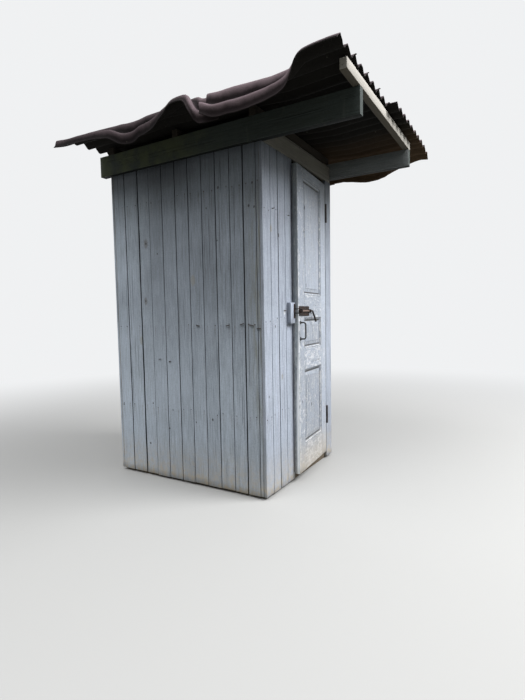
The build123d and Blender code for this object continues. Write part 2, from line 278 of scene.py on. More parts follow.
def solids(node, turn=Matrix()):
    """The lowest and highest corner of each solid of a CAD node, measured after turn."""
    shape = bmesh.new()
    shape.from_mesh(frame["nodes"][node].data)
    shape.transform(turn)
    bmesh.ops.remove_doubles(shape, verts=shape.verts, dist=1e-5)
    waiting = set(shape.verts)
    found = []
    while waiting:
        group = [waiting.pop()]
        for vert in group:
            joined = {end for edge in vert.link_edges for end in edge.verts} & waiting
            waiting -= joined
            group.extend(joined)
        sides = list(zip(*[vert.co for vert in group]))
        found.append((Vector([min(side) for side in sides]), Vector([max(side) for side in sides])))
    shape.free()
    return sorted(found, key=lambda box: tuple(round(value, 3) for value in box[0]))


def new_shape():
    """An empty mesh with the numbers that the wood's materials read at each point."""
    shape = bmesh.new()
    shape.verts.layers.float_vector.new("grain")
    for name in ("tone", "wear", "nail_line", "lift", "soil"):
        shape.verts.layers.float.new(name)
    return shape


def add_point(shape, place, grain, **numbers):
    """Add a point with its place along the grain and the other numbers that are given."""
    point = shape.verts.new(place)
    point[shape.verts.layers.float_vector["grain"]] = grain
    for name, value in numbers.items():
        point[shape.verts.layers.float[name]] = value
    return point


def wobble(*place):
    return noise.noise(Vector(place))


def band(shape, before, after):
    """The faces between two rings of points."""
    count = len(before)
    return [shape.faces.new((before[i], before[(i + 1) % count], after[(i + 1) % count], after[i]))
            for i in range(count)]


def plank(shape, low, high, along, outward, edge=0.002, waver=0.0008, dent=0.0004, gape=(0, 0),
          tone=0.5, lift=0.0, nail_inset=0.02, turn=Matrix(), wear=0.0, sides=(0, 0)):
    """Add one timber that fills the box from low to high, with worn edges and its grain along one axis.
    gape is how far its two long edges may wander inwards, for a joint that opens and closes. sides
    names the finish of each long edge by its number."""
    size = high - low
    across = along.cross(outward)
    axis = max(range(3), key=lambda i: abs(along[i]))
    depth_axis = max(range(3), key=lambda i: abs(outward[i]))
    length = size[axis]
    thickness = size[depth_axis]
    half = size[3 - axis - depth_axis] / 2
    middle = (low + high) / 2
    start = middle - along * length / 2 + outward * thickness / 2
    margin = min(face_margin, half * 0.4)
    bevel = edge * 0.3
    corner = [(half, edge, 1), (half - bevel, bevel, 1), (half - edge, 0, 0.8)]
    half_face = corner + [(half - edge - margin, 0, 0)]
    profile = [(-u, v, worn) for u, v, worn in half_face] + [(0, 0, 0)] + half_face[::-1]
    profile += [(u, thickness - v, worn) for u, v, worn in corner] + [(0, thickness, 0)]
    profile += [(-u, thickness - v, worn) for u, v, worn in corner[::-1]]
    steps = max(2, round(length / ring_spacing))
    stations = [(0, 1)] + [(min(max(length * i / steps, edge), length - edge), 0) for i in range(steps + 1)]
    stations.append((length, 1))
    nail_from_middle = max(0.0, half - nail_inset)
    seed = tone * 97.3
    rings = []
    for s, is_end in stations:
        inwards = [waver * (1 + wobble(seed, s * 9, side + 1))
                   + gape[side] * max(0, wobble(seed, s * 2.2, side + 3) + 0.35) for side in (0, 1)]
        ring = []
        for u, v, worn in profile:
            moved = u - inwards[u > 0] * u / half
            deep = v + dent * (1 + wobble(seed, s * 5, u * 40)) if v < thickness / 2 else v
            if is_end:
                moved *= 1 - edge * 0.7 / half
                deep += (thickness / 2 - deep) * edge * 1.4 / thickness
            place = start + across * moved + along * s - outward * deep
            grain = (u + tone * 7.3, v + tone * 3.1, s + tone * 11.7)
            numbers = {"wear": max(worn, is_end, wear), "nail_line": abs(u) - nail_from_middle}
            ring.append(add_point(shape, turn @ place, grain, tone=tone, lift=lift, **numbers))
        rings.append(ring)
    face_count = len(profile) // 2
    numbers = [0] * face_count + [sides[1]] + [1] * (len(profile) - face_count - 2) + [sides[0]]
    for before, after in zip(rings, rings[1:]):
        for face, number in zip(band(shape, before, after), numbers):
            face.material_index = number
    shape.faces.new(rings[0])
    shape.faces.new(rings[-1])


def piece(name, shape, finishes, replaces=(), body="hut", smooth=35):
    """Turn a shape into a piece of the hut that rides on a body."""
    bmesh.ops.recalc_face_normals(shape, faces=shape.faces)
    mesh = bpy.data.meshes.new(name)
    shape.to_mesh(mesh)
    shape.free()
    for finish in finishes:
        mesh.materials.append(finish)
    mesh.shade_smooth()
    mesh.set_sharp_from_angle(angle=math.radians(smooth))
    made = placed(name, mesh)
    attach(made, body)
    if replaces:
        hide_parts(*replaces)


def old_wood(finish, dark, light):
    """Paint weathered wood with fine streaks. Returns how high the streaks stand."""
    fine = finish.along_grain(0.03, 260, 2, 0.6)
    broad = finish.along_grain(0.06, 34, 3, 0.55, 0.6)
    cracks = finish.along_grain(0.012, 120, 1, 0.5).step(0.34, 0.26)
    finish.colour = finish.mixed(fine * 0.55 + broad * 0.55 - 0.05, dark, light)
    finish.tint(1 - cracks * 0.6)
    finish.tint(finish.attribute("tone") * 0.35 + 0.82)
    return fine * 0.6 + broad * 0.6 - cracks * 1.5


def bare_finish(name, dark, light, gloss=0.25):
    """Bare wood, darker where damp rises from the ground."""
    finish = Finish(name)
    finish.relief = old_wood(finish, dark, light)
    damp = finish.z.step(0.16, 0.0) * finish.noise(9).step(0.3, 0.7)
    finish.cover(damp * 0.6, damp_wood_colour)
    return finish.done(0.0012, Roughness=0.85, Specular_IOR_Level=gloss)


bare_timber = bare_finish("bare weathered timber", (0.115, 0.088, 0.062), (0.3, 0.245, 0.185))


def bare_piece(node, along, finish=bare_timber, below=None):
    """The timbers of one CAD node, sawn square and left bare."""
    outward = -y_axis if along == z_axis else z_axis
    shape = new_shape()
    for low, high in solids(node):
        plank(shape, low, high, along, outward, edge=bare_edge, waver=0.0012, tone=draw.random())
    piece(node + "_timber", shape, [finish, below or finish], [node])


for node, along in (("sill_left", y_axis), ("sill_right", y_axis), ("cross_sills", x_axis),
                    ("floor_joist", x_axis)):
    bare_piece(node, along)

low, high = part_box("floor_deck")
deck_shape = new_shape()
deck_planks = round((high.y - low.y) / floor_plank_width)
deck_step = (high.y - low.y) / deck_planks
for i in range(deck_planks):
    front_edge = Vector((low.x, low.y + i * deck_step + floor_plank_gap / 2, low.z))
    rear_edge = Vector((high.x, low.y + (i + 1) * deck_step - floor_plank_gap / 2, high.z))
    plank(deck_shape, front_edge, rear_edge, x_axis, z_axis, tone=draw.random())
piece("floor_planks", deck_shape, [bare_timber, bare_timber], ["floor_deck"])


# Posts stand on the sills at the corners and beside the doorway, with rails between them that the
# wall boards are nailed to. They are the same bare sawn timber and show only from inside.
for node, along in (("front_left_post", z_axis), ("front_right_post", z_axis), ("rear_posts", z_axis),
                    ("door_post", z_axis), ("left_wall_rails", y_axis), ("right_wall_rails", y_axis),
                    ("rear_wall_rails", x_axis), ("front_wall_rails", x_axis)):
    bare_piece(node, along)


# The walls are planed upright boards, nailed to the rails and painted pale blue-grey long ago. The
# joints have opened unevenly, and the paint is thin over the grain and dirty near the ground.
left_joints = (0.043, 0.13, 0.224, 0.326, 0.428, 0.533, 0.637, 0.747, 0.859, 0.958, 1.079)
front_joints = (0.091, 0.18, 0.27)
joint_gap = 0.0015
joint_wander = 0.0014
open_joints = {0.13: (0.0056, 0.0015), 0.637: (0.0034, 0.003), 0.958: (0.0048, 0.007),
               1.079: (0.0034, 0.003), 0.18: (0.0048, 0.001)}
board_edge = 0.0013
setback_most = 0.0022
uneven_foot = 0.004
lift_most = 0.012
nail_scatter = 0.006
nail_inset = 0.02
narrow_board = 0.06
nail_radius = 0.0031
painted_over = 0.35
nail_height = 0.0022
nail_sink = 0.0008
bent_nail = {"Length": 0.027, "Radius": 0.0024, "Spin": 0.35}
side_paint = (0.415, 0.471, 0.555), (0.306, 0.35, 0.402)
front_paint_tones = (0.42, 0.465, 0.558), (0.31, 0.345, 0.405)
painted_wood = (0.08, 0.078, 0.076), (0.25, 0.247, 0.24)
nail_stain_colour = (0.105, 0.062, 0.038)
soil_colour = (0.46, 0.405, 0.325)
mould_colour = (0.13, 0.14, 0.12)
corner_damp_colour = (0.17, 0.165, 0.115)
knot_colour = (0.034, 0.032, 0.031)
knot_ring_colour = (0.115, 0.105, 0.095)
resin_colour = (0.23, 0.2, 0.13)
bare_spot_colour = (0.6, 0.62, 0.64)
rubbed_colour = (0.22, 0.155, 0.125)
left_knots = ((0.898, 1.571), (0.917, 1.195), (0.798, 1.497), (0.722, 0.795), (0.302, 1.842), (0.066, 1.833),
              (0.318, 1.536), (0.392, 1.734), (0.091, 1.709), (0.055, 1.699), (0.741, 0.35), (0.515, 0.414),
              (0.383, 0.444), (0.883, 0.506), (1.163, 0.476), (0.707, 0.476), (0.92, 0.226))
left_stains = ((0.51, 1.31), (0.97, 0.93))
front_knots = ((0.187, 1.56), (0.131, 1.019), (0.045, 0.61))
front_stains = ((0.095, 1.587), (0.21, 0.71))
front_bare_spot = (0.25, 1.102)
left_bent = ((0.493, 1.033), (0.266, 1.03), (0.165, 1.035), (0.101, 1.033), (0.051, 1.012), (0.816, 0.808),
             (0.729, 0.795))
front_bent = ((0.241, 1.114), (0.114, 1.703), (0.307, 1.698))
hut_x, hut_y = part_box("front_wall")[0].xy


def painted_finish(name, paint, thin_paint, wood_dark, wood_light, flaking=0.0, grime=0.0, rows=(), painted_shade=()):
    """Old paint on wood: thin along the grain, worn off the edges, flaked here and there and dirty low down.
    rows are the heights of nails that leave stains. The last argument lists bands of painted shade that
    darken the paint with height: where each starts, where it is darkest, and how strong it is."""
    finish = Finish(name)
    streaks = old_wood(finish, wood_dark, wood_light)
    wood = finish.colour
    wear = finish.attribute("wear")
    cloud = finish.noise(3.1, 4, 0.6)
    brushed = finish.along_grain(0.035, 95, 4, 0.7)
    worn_grain = finish.along_grain(0.05, 210, 3, 0.62)
    finish.colour = finish.mixed((brushed * 0.9 + cloud * 0.5 - 0.25).step(0.15, 0.85), paint, thin_paint)
    speckle = finish.noise(110, 2, 0.7) * 0.5 + 0.75
    tone = finish.attribute("tone") * 0.2 + 0.9
    finish.tint(tone * (worn_grain * 0.75 + 0.62) * (1 - wear * 0.12) * speckle)
    ragged = finish.along_grain(0.22, 75, 6, 0.72)
    chipped = (ragged + wear * 0.05 + flaking - 0.5).step(0.2, 0.235)
    thin = (worn_grain + cloud * 0.3 + wear * 0.03 + flaking * 0.8).step(0.83, 0.98)
    finish.cover(thin * 0.55, wood)
    finish.cover(chipped, wood)
    checks = finish.along_grain(0.01, 150, 1, 0.4).step(0.3, 0.255)
    hairs = finish.along_grain(0.018, 330, 2, 0.6)
    finish.tint((1 - checks * 0.62) * (1 - hairs.step(0.42, 0.3) * 0.35 + hairs.step(0.6, 0.72) * 0.2))
    if rows:
        height = finish.z - finish.attribute("lift")
        drops = [(height - row).step(-0.12, 0.0) * (height - row).step(0.004, 0.0) for row in rows]
        spread = finish.along_grain(1, 160, 2).step(0.25, 0.75)
        spread = abs(finish.attribute("nail_line")).step(0.0065, 0.001) * spread
        finish.cover(reduce(Wire.higher_of, drops) * spread * 0.5, nail_stain_colour)
    splash = finish.z.step(0.34, 0.02) * 0.75 + finish.z.step(0.12, 0.015) * 0.5
    spatter = finish.noise(26, 5, 0.65).step(0.38, 0.72)
    finish.cover(splash * (spatter * 0.75 + 0.2) * grime, soil_colour)
    mould = finish.noise(17, 5, 0.62, squeeze=(1, 1, 0.16)).step(0.58, 0.8)
    finish.cover(mould * 0.34, mould_colour)
    # Painted shade: the paint is darkened in bands towards the top.
    for start, end, share in painted_shade:
        finish.tint(1 - finish.z.step(start, end) * (cloud * 0.5 + 0.75) * share)
    finish.relief = streaks * 0.45 + brushed * 0.5 - chipped * 0.5 - checks * 1.6
    return finish


def close_paint(finish, gloss=0.3):
    return finish.done(0.0011, Roughness=0.62, Specular_IOR_Level=gloss)


def mark(finish, places, size, colour, strength, scale=(1, 1, 0.55)):
    """A ragged mark at each place, some larger and some smaller."""
    distances = [finish.near(place, scale) * (0.85 + 0.15 * (i % 4)) for i, place in enumerate(places)]
    ragged = reduce(Wire.lower_of, distances) + finish.noise(170, 3, 0.6) * size - size * 0.5
    finish.cover(ragged.step(size * 1.1, size * 0.6) * strength, colour)


def rail_rows(node):
    return sorted({round((low.z + high.z) / 2, 4) for low, high in solids(node)})


def on_left(places):
    return [(hut_x, hut_y + y, z) for y, z in places]


def on_front(places):
    return [(hut_x + x, hut_y, z) for x, z in places]


side_rows = rail_rows("left_wall_rails")
front_rows = rail_rows("front_wall_rails")
# The side boards get painted shade that darkens them towards the top, most of all just under the eaves.
board = painted_finish("worn board paint", *side_paint, *painted_wood, -0.02, 1.0, side_rows,
                       ((0.45, 1.5, 0.45), (1.87, 2.03, 0.36)))
streaks = board.noise(70, 4, 0.6, squeeze=(1, 1, 0.07)).step(0.4, 0.66)
corner = (board.y - hut_y).step(0.15, 0.03) * board.z.step(0.15, 0.7) * board.z.step(2.0, 1.5)
board.cover(streaks * corner * 0.55, corner_damp_colour)
# Painted light and shade: the side boards are lighter towards the rear, darker under the eaves at the rear,
# and lighter on the rearmost boards above mid-height, as painted light from the open end.
board.tint(1 + board.y.step(0.25, 0.8) * 0.22)
eaves_shade = board.y.step(-0.1, 0.4) * board.z.step(1.8, 1.99) * 0.56
open_end_light = board.y.step(0.42, 0.68) * board.z.step(1.15, 1.45) * 0.42
board.tint((1 - eaves_shade) * (1 + open_end_light))
mark(board, on_left(left_stains), 0.018, resin_colour, 0.35)
mark(board, on_left(left_knots[:2]), 0.017, knot_ring_colour, 0.55)
mark(board, on_left(left_knots), 0.0068, knot_colour, 0.8, (1, 1, 0.8))
board_paint = close_paint(board)
# The front boards get painted shade that darkens them towards the top, most of all under the overhang.
front = painted_finish("worn front paint", *front_paint_tones, *painted_wood, -0.02, 1.0, front_rows,
                       ((0.7, 1.6, 0.22), (1.87, 2.07, 0.42)))
mark(front, on_front(front_stains), 0.012, resin_colour, 0.5)
mark(front, on_front([front_bare_spot]), 0.009, bare_spot_colour, 0.8)
mark(front, on_front(front_knots), 0.006, knot_colour, 0.8)
front_paint = close_paint(front)
# The board sides inside the joints are coloured near black as painted shade.
joint_shade = close_paint(painted_finish(
    "painted shade in the joints", (0.034, 0.039, 0.046), (0.026, 0.029, 0.033), (0.018, 0.017, 0.016),
    (0.04, 0.038, 0.036), 0.0, 0.3), 0.1)


def board_wall(node, outward, joints, rows, finish):
    """Upright boards in place of a wall slab. joints are measured from the hut's front left corner.
    Returns the nail places."""
    low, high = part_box(node)
    run = 1 if outward.x else 0
    depth = 1 - run
    first = (hut_x, hut_y)[run]
    seams = [(low[run], 0, joint_wander, 0)]
    for joint in joints:
        if low[run] + 0.01 < first + joint < high[run] - 0.01:
            seams.append((first + joint, *open_joints.get(joint, (joint_gap, joint_wander)), 2))
    seams.append((high[run], 0, joint_wander, 0))
    shape = new_shape()
    nails = []
    for before, after in zip(seams, seams[1:]):
        board_low = low.copy()
        board_high = high.copy()
        board_low[run] = before[0] + before[1] / 2
        board_high[run] = after[0] - after[1] / 2
        board_low.z += uneven_foot * draw.random()
        outer = board_high if outward[depth] > 0 else board_low
        outer[depth] -= outward[depth] * setback_most * draw.random()
        edges = (before, after) if z_axis.cross(outward)[run] > 0 else (after, before)
        lift = draw.uniform(-lift_most, lift_most)
        width = board_high[run] - board_low[run]
        insets = (nail_inset, width - nail_inset) if width > narrow_board else (width / 2,)
        plank(shape, board_low, board_high, z_axis, outward, edge=board_edge,
              gape=[seam[2] / 2 for seam in edges], tone=draw.random(), lift=lift,
              nail_inset=insets[0], sides=[seam[3] for seam in edges])
        for row in rows:
            for inset in insets:
                if draw.random() < painted_over:
                    continue
                place = Vector((0, 0, row + lift + draw.uniform(-nail_scatter, nail_scatter)))
                place[run] = board_low[run] + inset
                place[depth] = outer[depth] - outward[depth] * nail_sink
                nails.append(place)
    piece(node + "_boards", shape, [finish, bare_timber, joint_shade], [node])
    return nails


def iron_finish(name, dark, light, rust, rusting, metallic=0.35, rubbed=None, gloss=0.5):
    """Old iron: dark metal under blooms and grains of rust, paler round the point where it is rubbed."""
    finish = Finish(name)
    bloom = finish.noise(55, 5, 0.7).step(0.62 - rusting * 0.3, 0.78 - rusting * 0.3)
    pits = finish.noise(420, 3, 0.6)
    finish.colour = finish.mixed(finish.noise(130), dark, light)
    finish.cover(bloom, rust)
    if rubbed:
        finish.cover(finish.near(rubbed).step(0.075, 0.045) * 0.75, rubbed_colour)
    finish.tint(pits * 0.8 + 0.6)
    finish.relief = pits + bloom * 0.5
    roughness = bloom * 0.3 + 0.5
    metal = (1 - bloom) * metallic
    return finish.done(0.0006, Roughness=roughness, Metallic=metal, Specular_IOR_Level=gloss)


nail_iron = iron_finish(
    "rusty nails", (0.016, 0.012, 0.011), (0.04, 0.028, 0.023), (0.07, 0.034, 0.02), 0.4)


def new_tree(name, floats, others):
    """A Geometry Nodes tree with inputs of these names. Returns it, the inputs and the output node."""
    tree = bpy.data.node_groups.new(name, "GeometryNodeTree")
    tree.interface.new_socket("Geometry", in_out="OUTPUT", socket_type="NodeSocketGeometry")
    for label, kind in {"Geometry": "Geometry", **dict.fromkeys(floats, "Float"), **others}.items():
        tree.interface.new_socket(label, in_out="INPUT", socket_type="NodeSocket" + kind)
    given = tree.nodes.new("NodeGroupInput")
    wires = {out.name: Wire(tree, out) for out in given.outputs if out.name}
    return tree, wires, tree.nodes.new("NodeGroupOutput")


def close_tree(tree, geometry, finish, output):
    """End a tree in Realize Instances and Set Material."""
    real = add_node(tree, "GeometryNodeRealizeInstances", {0: geometry})
    painted = add_node(tree, "GeometryNodeSetMaterial", {"Geometry": real, "Material": finish})
    feed(tree, output.inputs[0], painted)


def grown(name, base_mesh, tree, values):
    """Run a tree on a mesh and return the result as a bmesh."""
    base = placed(name + " base", base_mesh)
    modifier = base.modifiers.new("nodes", "NODES")
    modifier.node_group = tree
    sockets = {item.name: item.identifier for item in tree.interface.items_tree if item.in_out == "INPUT"}
    for label, value in values.items():
        modifier[sockets[label]] = value
    evaluated = base.evaluated_get(bpy.context.evaluated_depsgraph_get())
    mesh = bpy.data.meshes.new_from_object(evaluated)
    shape = bmesh.new()
    shape.from_mesh(mesh)
    bpy.data.objects.remove(base)
    bpy.data.meshes.remove(mesh)
    return shape


def vector_of(tree, x=0.0, y=0.0, z=0.0):
    return add_node(tree, "ShaderNodeCombineXYZ", {0: x, 1: y, 2: z})


def random_value(tree, low, high, seed):
    return add_node(tree, "FunctionNodeRandomValue", {2: low, 3: high, "Seed": seed}, 1, data_type="FLOAT")


def instances(tree, given, shape, rotation, scale):
    return add_node(tree, "GeometryNodeInstanceOnPoints", {
        "Points": given["Geometry"], "Instance": shape, "Rotation": rotation, "Scale": scale})


def strewn(name, places, outward, tree, values, body="hut", smooth=25):
    """Nails or screws that a node tree sets at the given places, facing outward."""
    points = bpy.data.meshes.new(name)
    points.from_pydata([tuple(place) for place in places], [], [])
    values["Facing"] = outward.to_track_quat("Z", "Y").to_euler()
    piece(name, grown(name, points, tree, values), [nail_iron], body=body, smooth=smooth)


nail_tree, given, result = new_tree(
    "nail heads", ("Head radius", "Head height"), {"Facing": "Rotation", "Seed": "Int"})
head = add_node(nail_tree, "GeometryNodeMeshCone", {
    "Vertices": 10, "Radius Top": given["Head radius"] * 0.62, "Radius Bottom": given["Head radius"],
    "Depth": given["Head height"]})
head_size = random_value(nail_tree, 0.85, 1.2, given["Seed"])
heads = instances(nail_tree, given, head, given["Facing"], head_size)
close_tree(nail_tree, heads, nail_iron, result)


def nail_heads(name, places, outward, seed, body="hut", radius=nail_radius, height=nail_height):
    """Nail or screw heads on a surface that faces outward."""
    values = {"Head radius": radius, "Head height": height, "Seed": seed}
    strewn(name, places, outward, nail_tree, values, body)


hook_tree, given, result = new_tree("bent nails", bent_nail, {"Facing": "Rotation", "Seed": "Int"})
path = add_node(hook_tree, "GeometryNodeCurveQuadraticBezier", {
    "Resolution": 6, "Start": vector_of(hook_tree, z=given["Radius"] * -1.5),
    "Middle": vector_of(hook_tree, given["Length"] * 0.1, z=given["Radius"] * 4),
    "End": vector_of(hook_tree, given["Length"], z=given["Radius"])})
round_wire = add_node(hook_tree, "GeometryNodeCurvePrimitiveCircle", {
    "Resolution": 7, "Radius": given["Radius"]})
hook = add_node(hook_tree, "GeometryNodeCurveToMesh", {
    "Curve": path, "Profile Curve": round_wire, "Fill Caps": True})
spin = random_value(hook_tree, given["Spin"] * -1, given["Spin"], given["Seed"])
spun = add_node(hook_tree, "FunctionNodeEulerToRotation", {0: vector_of(hook_tree, z=spin)})
turned = add_node(hook_tree, "FunctionNodeRotateRotation", {0: given["Facing"], 1: spun},
                  rotation_space="LOCAL")
reach = random_value(hook_tree, 0.65, 1.15, given["Seed"] + 1)
close_tree(hook_tree, instances(hook_tree, given, hook, turned, reach), nail_iron, result)


def bent_nails(name, places, outward, seed):
    """Nails that were hammered over instead of in."""
    strewn(name, places, outward, hook_tree, {**bent_nail, "Seed": seed}, smooth=50)


rear_joints = tuple(0.1 * i + 0.003 * ((i * 5) % 3 - 1) for i in range(1, 10))
walls = (
    ("left_wall", -x_axis, left_joints, side_rows, board_paint),
    ("right_wall", x_axis, left_joints, side_rows, board_paint),
    ("rear_wall", y_axis, rear_joints, side_rows, board_paint),
    ("front_wall", -y_axis, front_joints, front_rows, front_paint),
)
wall_nails = [board_wall(*wall) for wall in walls]
for seed, (wall, places) in enumerate(zip(walls, wall_nails)):
    nail_heads(wall[0] + "_nails", places, wall[1], seed)
bent_nails("left_wall_bent_nails", on_left(left_bent), -x_axis, 2)
bent_nails("front_wall_bent_nails", on_front(front_bent), -y_axis, 5)


def single_plank(node, name, along, outward, finishes, slot="painted_boards", **form):
    """A piece of one plank in place of a CAD node."""
    shape = new_shape()
    plank(shape, *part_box(node), along, outward, tone=draw.random(), **form)
    piece(name, shape, finishes, [node])


single_plank("hinge_jamb", "hinge_jamb_board", z_axis, -y_axis, [front_paint, bare_timber], edge=board_edge)


# Two planks on edge run along the wall tops and on past the front wall, where they carry the deep
# overhang. They are nailed to the posts and painted grey-green, partly darkened as painted shade under
# the sheets, and their top and bottom faces are near black as painted shade.
algae_colour = (0.098, 0.112, 0.062)
# The outer beam paint is partly the real dark grey-green and partly painted shade under the sheets.
beam = painted_finish(
    "dark beam paint with painted shade", (0.054, 0.067, 0.065), (0.043, 0.05, 0.044), (0.04, 0.036, 0.028),
    (0.085, 0.076, 0.062))
green = beam.noise(11, 4, 0.6).step(0.3, 0.65) * beam.y.step(-0.25, 0.45)
beam.cover(green * 0.75, algae_colour)
inner_beam = painted_finish(
    "paler beam paint", (0.185, 0.2, 0.205), (0.145, 0.155, 0.155), (0.075, 0.066, 0.055),
    (0.16, 0.145, 0.125))
# The top and bottom faces of the beams are near black as painted shade.
beam_edge_shade = painted_finish(
    "beam edges in painted shade", (0.017, 0.02, 0.02), (0.013, 0.014, 0.013), (0.014, 0.012, 0.01),
    (0.03, 0.026, 0.022), -0.02)
beam_paints = [close_paint(beam, 0.12), close_paint(inner_beam), close_paint(beam_edge_shade, 0.06)]
for node, outward in (("left_side_beam", -x_axis), ("right_side_beam", x_axis)):
    single_plank(node, node + "_plank", y_axis, outward, beam_paints, "painted_beams",
                 waver=0.001, sides=(2, 2))


# A frieze board closes the gap between the beams above the front wall, and another above the rear
# wall. They are nailed on from outside and painted a dull grey.
front_frieze_knot = (0.479, 2.16)
frieze = painted_finish(
    "grey frieze paint", (0.145, 0.14, 0.122), (0.105, 0.1, 0.086), (0.07, 0.062, 0.05),
    (0.15, 0.135, 0.11), 0.02)
mark(frieze, on_front([front_frieze_knot]), 0.009, knot_colour, 0.9)
frieze_paint = close_paint(frieze)
for node, outward in (("front_frieze", -y_axis), ("rear_frieze", y_axis)):
    single_plank(node, node + "_board", x_axis, outward, [frieze_paint, bare_timber])


# Three square purlins lie across the beams, coloured dark as painted shade under the sheets, and a
# longer batten bleached by the weather lies under the front edge, its underside darker as painted
# shade. The roof sheets are nailed down to them.
purlin_finish = bare_finish("shaded timber", (0.024, 0.021, 0.018), (0.06, 0.052, 0.044), 0.08)
batten_finish = bare_finish("bleached timber", (0.2, 0.19, 0.17), (0.42, 0.4, 0.37))
batten_below = bare_finish("timber in the shade", (0.055, 0.05, 0.042), (0.13, 0.115, 0.095), 0.1)
for node in ("front_purlin", "middle_purlin", "rear_purlin"):
    bare_piece(node, x_axis, purlin_finish)
bare_piece("front_batten", x_axis, batten_finish, batten_below)


# Four corrugated sheets of tarred fibre lap each other at mid-roof and over the front wall. They
# have softened with age, sag between the purlins and hang down past the side beams.
sheet_sizes = {"Pitch": 0.095, "Wave height": 0.0325, "Thickness": 0.004, "Bend reach": 0.645,
               "Bend length": 0.095, "End ragged": 0.006, "Hem ragged": 0.009}
sheet_gap = 0.0003
lap_rise = 0.0043
edge_reach = 0.855
lap_reach = 0.0475
slightest_bend = 0.001
steepest_bend = math.radians(70)
deepest_sag = 0.02
points_per_wave = 16
rows_along = 90
sheet_nail_rows = ((-0.58, 2), (0.0425, 2), (0.6, 0), (1.1575, 0))
nails_per_row = 7
sheet_nail_radius = 0.006
sheet_nail_sink = 0.0014
front_lines = (
    (-0.63, 0, 0, 12), (-0.57, 0, 0, 10), (-0.53, 0, 0, 12), (-0.41, 0.004, 3, 24),
    (-0.35, 0.007, 30, 33), (-0.29, 0.01, 48, 44), (-0.2, 0.014, 54, 48), (0.02, 0, 62, 38),
    (0.065, 0, 62, 38), (0.185, 0.003, 46, 38),
)
rear_lines = (
    (0.085, 0.001, 64, 38), (0.205, 0.004, 60, 38), (0.265, 0.006, 14, 38), (0.31, 0.008, 11, 38),
    (0.41, 0.008, 26, 38), (0.5775, 0, 52, 40), (0.6225, 0, 54, 40), (0.7, 0.005, 60, 38),
    (0.88, 0.011, 34, 30), (1.135, 0, 30, 12), (1.18, 0, 30, 12), (1.33, 0, 25, 0),
)
purlin_low, purlin_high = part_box("rear_purlin")
rear_support = purlin_high.z
roof_middle = (purlin_low.x + purlin_high.x) / 2

sheet_colour_low = (0.015, 0.011, 0.012)
sheet_colour_high = (0.142, 0.108, 0.119)
dark_and_shaded_underside_colour = (0.012, 0.011, 0.01)
reflected_light_colour = (0.085, 0.055, 0.034)
litter_colour = (0.06, 0.056, 0.035)
lichen_colour = (0.21, 0.21, 0.16)
roof = Finish("tarred fibre sheet")
crest = roof.attribute("crest")
upper_side = roof.attribute("upper")
fibres = roof.noise(190, 4, 0.65)
patches = roof.noise(7, 5, 0.62)
# The underside is the sheet's own dark colour, darkened further as painted shade, and towards the right it
# is tinted orange-brown as painted reflected light.
reflected_light = roof.x.step(0.15, 0.8) * (patches * 0.8 + 0.6)
roof.colour = roof.mixed(reflected_light, dark_and_shaded_underside_colour, reflected_light_colour)
roof.tint(fibres + 0.5)
lit_and_shaded_lower_side = roof.colour
# The crests are lighter than the grooves, partly as wear and partly as painted highlight.
crest_wear_and_highlight = (patches * 0.7 + crest * 0.75 - 0.15).step(0.42, 1.0)
roof.colour = roof.mixed(crest_wear_and_highlight, sheet_colour_low, sheet_colour_high)
# The upper side is darker towards the rear as painted shade.
roof.tint((fibres * 0.7 + 0.65) * (1 - roof.y.step(-0.2, 0.05) * 0.6))
roof.cover(1 - upper_side, lit_and_shaded_lower_side)
off_hem = abs(roof.x - roof_middle).step(0.68, 0.58)
litter = (1 - crest) * off_hem * roof.noise(30, 5, 0.7, squeeze=(1, 0.3, 1))
roof.cover(litter.step(0.42, 0.6) * upper_side * 0.45, litter_colour)
lichen = roof.noise(48, 4, 0.7).step(0.66, 0.72) * patches.step(0.45, 0.6)
roof.cover(lichen * 0.5, lichen_colour)
roof.relief = fibres + patches * 0.5
roof_finish = roof.done(0.0012, Roughness=0.78, Specular_IOR_Level=0.07)


def line_curve(tree, share, lines, column, scale, handle):
    """A curve along the roof through one column of the lines."""
    curve = tree.nodes.new("ShaderNodeFloatCurve")
    feed(tree, curve.inputs["Value"], share)
    knots = curve.mapping.curves[0].points
    length = lines[-1][0] - lines[0][0]
    spots = [((line[0] - lines[0][0]) / length, line[column] / scale) for line in lines]
    knots[0].location = spots[0]
    knots[-1].location = spots[-1]
    for spot in spots[1:-1]:
        knots.new(*spot)
    for knot in knots:
        knot.handle_type = handle
    curve.mapping.update()
    return Wire(tree, curve.outputs[0])


def line_noise(along, scale):
    return add_node(along.tree, "ShaderNodeTexNoise", {"W": along, "Scale": scale}, noise_dimensions="1D")


